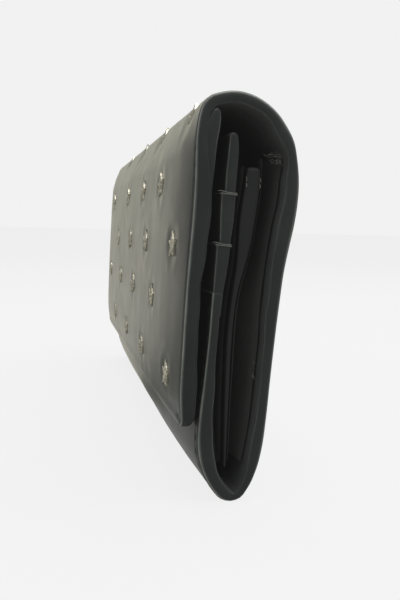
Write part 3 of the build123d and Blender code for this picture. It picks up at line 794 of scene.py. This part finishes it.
def gusset(name, side, first, second, high, seed):
    """A V-folded strip between two walls, its fold pointing into the wallet."""
    fold = stations(0, 1, 0.07, False, False)
    z_line = stations(GUSSET_LOW, high, 2.0)
    v, z = np.meshgrid(fold, z_line, indexing="ij")
    start, stop = first(z) + GUSSET_CLEAR, second(z) - GUSSET_CLEAR
    wave = noise_field(z, v * 10, 14, 8, seed)
    bend = 1 - np.sqrt((2 * v - 1) ** 2 + 0.012)
    depth = GUSSET_DEPTH * (bend - bend[0, 0]) / (1 - bend[0, 0]) * (1 + 0.06 * wave)
    width = 0.5 + 0.5 * np.sin(math.pi * (v - 0.5)) * 0.35 + (v - 0.5) * 0.65
    x = side * (GUSSET_MOUTH_X - depth + 0.25 * wave)
    y = start + (stop - start) * np.clip(width, 0, 1) + 0.12 * wave
    centre = np.stack([x, y, z + 0.5 * wave * (z > high - 8)], axis=-1)
    across = np.gradient(centre, axis=0)
    upward = np.gradient(centre, axis=1)
    out = np.cross(across, upward)
    out /= np.linalg.norm(out, axis=-1, keepdims=True)
    distance = np.minimum(np.minimum(z - GUSSET_LOW, high - z), 3.0 * np.minimum(v, 1 - v) * 10)
    out *= GUSSET_HALF_THICK
    return closed_sheet(name, centre + out, centre - out, distance, 0.45, [gusset_mat])


for side, label in ((-1, "left"), (1, "right")):
    front_gusset = gusset(f"front_gusset_{label}", side, front_inner, divider_outer, FRONT_GUSSET_TOP,
                          2.0 + side)
    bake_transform(front_gusset)
    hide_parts(f"gusset_front_{label}")
    back_gusset = gusset(f"back_gusset_{label}", side, divider_inner, back_inner, BACK_GUSSET_TOP, 6.0 + side)
    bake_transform(back_gusset)
    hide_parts(f"gusset_back_{label}")


# ---- linings
def inner_lining(section, low, high, count=60):
    """A thin sheet that covers a section's inner side between two lengths."""
    rows = section.at(np.linspace(low, high, count))
    out = rows[:, 0:2] - rows[:, 2:4]
    out /= np.linalg.norm(out, axis=1, keepdims=True)
    lining = np.hstack([rows[:, 2:4] + out * LINING_SUNK, rows[:, 2:4] - out * LINING_PROUD])
    return Section(lining, fineness=4)


back_line = inner_lining(wrap, crest, bottom)
back_lining = slab("back_lining_leather", back_line, WALLET_LENGTH - LINING_INSET, [lining_mat],
                   LINING_CLIMB, rounded=(False, False), steps=(4.0, 1.6))
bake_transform(back_lining)
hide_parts("back_lining", "bottom_lining")
spine_line = inner_lining(wrap, wrap.along_for_height(96.5, 0, crest), crest, count=12)
spine_lining = slab("spine_lining_leather", spine_line, WALLET_LENGTH - LINING_INSET, [lining_mat],
                    LINING_CLIMB, rounded=(False, False), steps=(4.0, 1.2))
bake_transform(spine_lining)
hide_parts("spine_lining")
front_rows = [(front_inner(z) - 0.15, z, front_inner(z) + 0.28, z) for z in np.arange(11.0, 88.1, 3.5)]
front_lining = slab("front_lining_leather", Section(front_rows, fineness=4), FRONT_LENGTH - LINING_INSET,
                    [lining_mat], 0.25)
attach(front_lining, "front")
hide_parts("front_lining")

# ---- card slots of the back
for name in ("back_slot_upper", "back_slot_lower"):
    lowest, highest = box_of(name)
    depth = 0.9 if name.endswith("upper") else 1.5
    heights = np.linspace(lowest.z, highest.z, 6)
    rows = [(back_inner(z) - 0.2, z, back_inner(z) - 0.3 - depth * (0.6 + 0.4 * k / 5), z)
            for k, z in enumerate(heights)]
    piece = slab(name + "_leather", Section(rows, fineness=4), highest.x - lowest.x, lining_slots, 0.4,
                 corners=(0.8, 1.5), steps=(4.0, 1.6), highlight_gain=0.4)
    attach(piece, "back")
    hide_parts(name)


# ---- stitches and thread
def stitch(builder, place, radius=0.17, rise=0.1):
    """One stitch along local X of a place: a thread that comes out of the leather and goes back in."""
    shares = np.linspace(-1, 1, 7)
    points = [place @ Vector((share * STITCH_LENGTH / 2, 0, rise - 0.3 * share**4)) for share in shares]
    builder.tube(points, [radius * (1 - 0.25 * share**2) for share in shares], sides=6)


def edge_row(builder, section, low, high, reach, shift, lift, radius=0.17):
    """Stitches up both ends of a sheet between two lengths of its section."""
    count = int((high - low) / STITCH_PITCH)
    for step in range(count):
        along = low + (step + 0.5) * (high - low) / count
        for side in (-1, 1):
            place = surface_frame(section, side * reach, along, shift, lift, math.pi / 2)
            stitch(builder, place, radius)


def row_places(length):
    """X places of a row of stitches along the wallet."""
    count = int(length / STITCH_PITCH)
    return [(step - (count - 1) / 2) * STITCH_PITCH for step in range(count)]


flap_thread = Builder()
edge_row(flap_thread, wrap, 3.0, crest - 16, WALLET_LENGTH / 2 - 0.95, flap_bulge, lift=-0.3, radius=0.12)
for x in row_places(WALLET_LENGTH - 8):
    stitch(flap_thread, surface_frame(wrap, x, FLAP_GROOVE, flap_bulge, -0.5), radius=0.14)
flap_thread = flap_thread.finish("flap_stitches", thread_mat)
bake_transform(flap_thread)
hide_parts("flap_stitching")

back_thread = Builder()
edge_row(back_thread, wrap, wrap.knots[21], bottom - 9, WALLET_LENGTH / 2 - BODY_GROOVE, None, lift=-0.16)
back_thread = back_thread.finish("back_stitches", thread_mat)
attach(back_thread, "back")
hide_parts("back_stitching")

body_thread = Builder()
edge_row(body_thread, wrap, bottom + 5.5, wrap.length - 3, WALLET_LENGTH / 2 - 2.0, front_bulge, lift=-0.16)
body_thread = body_thread.finish("front_edge_stitches", thread_mat)
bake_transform(body_thread)
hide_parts("slot_stitching")

front_thread = Builder()
for rows, mouth in ((TIER_UPPER, UPPER_MOUTH), (TIER_LOWER, LOWER_MOUTH)):
    outer_y, outer_z, inner_y, inner_z = np.array(rows).T
    before, behind = float(np.interp(mouth, outer_z, outer_y)), float(np.interp(mouth, inner_z, inner_y))
    for side in (-1, 1):
        end = side * (FRONT_LENGTH / 2 + 0.08)
        for drop, lean, out in ((0.0, 0.45, 0.7), (0.35, 0.2, 0.25)):
            bar = [(1.2, before - out, lean), (0.3, before - 0.3 * out, lean), (0, before + 0.5, lean * 0.5),
                   (-0.03, (before + behind) / 2, 0), (0, behind - 0.5, -0.1), (0.2, behind + 0.15, -0.15),
                   (1.2, behind + 0.4, -0.1 - lean)]
            points = [(end - side * inwards, y, mouth - drop + rise) for inwards, y, rise in bar]
            front_thread.tube(points, 0.1, sides=6)
front_thread = front_thread.finish("slot_mouth_stitches", light_thread_mat)
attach(front_thread, "front")
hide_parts("slot_stitching")

hem_thread = Builder()
hem_along = divider_line.along_for_height(HEM_STITCH_HEIGHT, 0, divider_line.length)
hem_row = divider_line.at(hem_along)
for x in row_places(DIVIDER_LENGTH - 6):
    stitch(hem_thread, surface_frame(divider_line, x, hem_along, None, 0.02))
    behind = Matrix.Translation((x, hem_row[2] + 0.02, hem_row[3])) @ Matrix.Rotation(-math.pi / 2, 4, "X")
    stitch(hem_thread, behind)
end_thread = Builder()
for side in (-1, 1):
    end = side * (DIVIDER_LENGTH / 2 + 0.08)
    for y, rise in ((hem_row[0] + 0.12, -0.7), (hem_row[0] + 0.1, 0.8),
                    (hem_row[2] - 0.12, -0.9), (hem_row[2] - 0.1, 0.6)):
        bar = [(0.5, -0.55), (0, -0.2), (0, 0.3), (0.5, 0.6)]
        points = [(end - side * inwards, y, HEM_STITCH_HEIGHT + rise + up) for inwards, up in bar]
        end_thread.tube(points, 0.09, sides=6)
end_thread = end_thread.finish("coin_pocket_end_stitches", light_thread_mat)
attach(end_thread, "divider")
hem_thread = hem_thread.finish("coin_pocket_stitches", thread_mat)
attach(hem_thread, "divider")

# Loose fibres at the raw top of the back gusset and on its seam, at both ends
fibre_random = np.random.default_rng(7)
fibres = Builder()
for side in (-1, 1):
    for number in range(FIBRE_COUNT):
        low_seam = number % 3 == 0
        z = fibre_random.uniform(30, 34) if low_seam and number % 2 else fibre_random.uniform(83.4, 85.6)
        y = float(back_inner(z)) - fibre_random.uniform(0.2, 0.9 if low_seam else 4.0)
        x = side * (GUSSET_MOUTH_X + fibre_random.uniform(-1.2, 0.6))
        points = [Vector((x, y, z))]
        heading = Vector(fibre_random.normal(0, 1, 3)) + Vector((side * 0.6, 0, 0.9))
        for _ in range(4):
            heading = (heading + 0.6 * Vector(fibre_random.normal(0, 1, 3))).normalized()
            points.append(points[-1] + heading * FIBRE_STEP)
        fibres.tube(points, [0.05, 0.05, 0.045, 0.035, 0.02], sides=4)
fibres = fibres.finish("gusset_fibres", light_thread_mat)
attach(fibres, "back")


# ---- zip tapes and end tabs
def tape_ribs(x, s, distance):
    """Fine ribs along the tape, with a thicker corded edge."""
    return 0.03 * np.sin(s * 9.0) + 0.05 * np.exp(-((distance - 0.4) / 0.25) ** 2)


def sheet_in_box(lowest, highest, thick):
    """The section of a flat sheet that leans from a box's low front edge to its high back one."""
    low_row = (lowest.y, lowest.z, lowest.y + thick, lowest.z)
    high_row = (highest.y - thick, highest.z, highest.y, highest.z)
    return Section([low_row, high_row])


for name in ("zip_tape_upper", "zip_tape_lower"):
    lowest, highest = box_of(name)
    piece = slab(name + "_woven", sheet_in_box(lowest, highest, 0.36), highest.x - lowest.x, [tape_mat], 0.16,
                 steps=(3.0, 0.25), relief=tape_ribs)
    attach(piece, "divider")
    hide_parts(name)
tab_low, tab_high = box_of("zip_end_tabs")
tab_line = sheet_in_box(tab_low, tab_high, 0.7)
for side, label in ((-1, "left"), (1, "right")):
    piece = slab(f"zip_end_tab_{label}_leather", tab_line, ZIP_TAB_LENGTH, [panel_mat, panel_mat, edge_mat],
                 0.3, corners=(1.0, 1.0), steps=(0.8, 0.8), centre=side * (tab_high.x - ZIP_TAB_LENGTH / 2),
                 highlight_gain=0.5)
    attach(piece, "divider")
    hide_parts("zip_end_tabs")

# ---- leather loop of the chain ring
ring_low, ring_high = box_of("chain_ring")
loop_low, loop_high = box_of("ring_tab")
eye_x, eye_y = ring_high.x - 1.0, (ring_low.y + ring_high.y) / 2
route = [(loop_high.x, eye_y - 1.35), (loop_high.x - 6, eye_y - 1.5), (eye_x + 5, eye_y - LOOP_RADIUS + 0.15)]
for turn in range(-90, -271, -20):
    angle = math.radians(turn)
    route.append((eye_x + LOOP_RADIUS * math.cos(angle), eye_y + LOOP_RADIUS * math.sin(angle)))
route += [(eye_x + 3.4, eye_y + LOOP_RADIUS - 0.5), (eye_x + 6.5, eye_y + 0.1),
          (loop_high.x - 3, eye_y - 0.25)]
route_line = Section([(x, y, x + 0.001, y) for x, y in route], fineness=6)
strap_s = stations(0, route_line.length, 0.8)
strap_z = stations(loop_low.z, loop_high.z, 0.8)
s_grid, z_grid = np.meshgrid(strap_s, strap_z, indexing="ij")
centre_line = route_line.at(s_grid)[..., :2]
run = np.gradient(centre_line, axis=0)
run /= np.linalg.norm(run, axis=-1, keepdims=True)
sideways = np.stack([-run[..., 1], run[..., 0], np.zeros_like(z_grid)], axis=-1)
centre_line = np.concatenate([centre_line, z_grid[..., None]], axis=-1)
strap_edge = np.minimum(np.minimum(s_grid, route_line.length - s_grid),
                        np.minimum(z_grid - loop_low.z, loop_high.z - z_grid))
ring_loop = closed_sheet("ring_tab_leather", centre_line + sideways * LOOP_HALF_THICK,
                         centre_line - sideways * LOOP_HALF_THICK, np.clip(strap_edge, 0, None), 0.4,
                         [cover_mat, cover_mat, edge_mat], highlight_gain=0.6)
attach(ring_loop, "back")
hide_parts("ring_tab")

# ---- CAD nodes that stay
for name in ("zip_teeth_upper", "zip_teeth_lower", "zip_stops", "zip_slider", "zip_pull", "snap_stud",
             "snap_stud_rivet", "snap_socket", "snap_socket_cap", "chain_ring"):
    for material_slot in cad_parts[name].material_slots:
        material_slot.material = hardware_mat


# ---- stage, light and camera
def light_by_heading(tree, direction, stops, seen):
    """A colour by horizontal heading for the light on the wallet, and plain grey for the camera."""
    link = tree.links.new
    level = node(tree, "ShaderNodeVectorMath", {1: (1.0, 1.0, 0.3)}, operation="MULTIPLY")
    heading = node(tree, "ShaderNodeVectorMath", operation="NORMALIZE")
    along = node(tree, "ShaderNodeVectorMath", {1: (-1.0, 0.0, 0.0)}, operation="DOT_PRODUCT")
    share = node(tree, "ShaderNodeMapRange", {"From Min": -1.0, "From Max": 1.0})
    choice = node(tree, "ShaderNodeMix", data_type="RGBA")
    link(direction, level.inputs[0])
    link(level.outputs[0], heading.inputs[0])
    link(heading.outputs[0], along.inputs[0])
    link(along.outputs["Value"], share.inputs["Value"])
    link(node(tree, "ShaderNodeLightPath").outputs["Is Camera Ray"], choice.inputs["Factor"])
    link(ramp(tree, share.outputs["Result"], stops), choice.inputs[6])
    choice.inputs[7].default_value = (seen, seen, seen, 1)
    return choice.outputs[2]


floor_mat, floor_tree, floor_shader = new_material("floor", 1.0, specular=0.0)
floor_shader.inputs["Base Color"].default_value = (0.06, 0.06, 0.06, 1)
floor_shader.inputs["Emission Strength"].default_value = 1.0
floor_place = node(floor_tree, "ShaderNodeTexCoord").outputs["Object"]
floor_light = light_by_heading(floor_tree, floor_place, FLOOR_STOPS, FLOOR_SEEN)
floor_tree.links.new(floor_light, floor_shader.inputs["Emission Color"])
floor_mesh = bpy.data.meshes.new("floor")
floor_corners = [(x * FLOOR_HALF, y * FLOOR_HALF, 0) for x, y in ((-1, -1), (1, -1), (1, 1), (-1, 1))]
floor_mesh.from_pydata(floor_corners, [], [(0, 1, 2, 3)])
floor_mesh.materials.append(floor_mat)
floor = bpy.data.objects.new("floor", floor_mesh)
bpy.context.scene.collection.objects.link(floor)

scene = bpy.context.scene
scene.world = bpy.data.worlds.new("studio")
scene.world.use_nodes = True
sky_tree = scene.world.node_tree
sky_heading = node(sky_tree, "ShaderNodeTexCoord").outputs["Generated"]
sky_light = light_by_heading(sky_tree, sky_heading, LIGHT_STOPS, BACKGROUND)
sky_tree.links.new(sky_light, sky_tree.nodes["Background"].inputs["Color"])

lamp_data = bpy.data.lights.new("soft_box", "AREA")
lamp_data.size = 1.0
lamp_data.energy = 10.0
lamp = bpy.data.objects.new("soft_box", lamp_data)
scene.collection.objects.link(lamp)
lamp.location = LAMP_AT
lamp.rotation_euler = (LAMP_TARGET - LAMP_AT).to_track_quat("-Z", "Y").to_euler()

scene.view_settings.view_transform = "Standard"
scene.view_settings.look = "None"
scene.view_settings.use_curve_mapping = True
scene.view_settings.curve_mapping.black_level = (-0.005, -0.005, -0.005)

camera_data = bpy.data.cameras.new("camera")
camera_data.sensor_width = 36.0
camera_data.lens = CAMERA_LENS
camera_data.clip_start = 0.01
camera = bpy.data.objects.new("camera", camera_data)
scene.collection.objects.link(camera)
right = Vector(CAMERA_RIGHT).normalized()
forward = Vector(CAMERA_FORWARD).normalized()
right = (right - forward * right.dot(forward)).normalized()
above = right.cross(forward)
turned = Matrix((right, above, -forward)).transposed().to_4x4()
camera.matrix_world = Matrix.Translation(CAMERA_AT) @ turned
scene.camera = camera
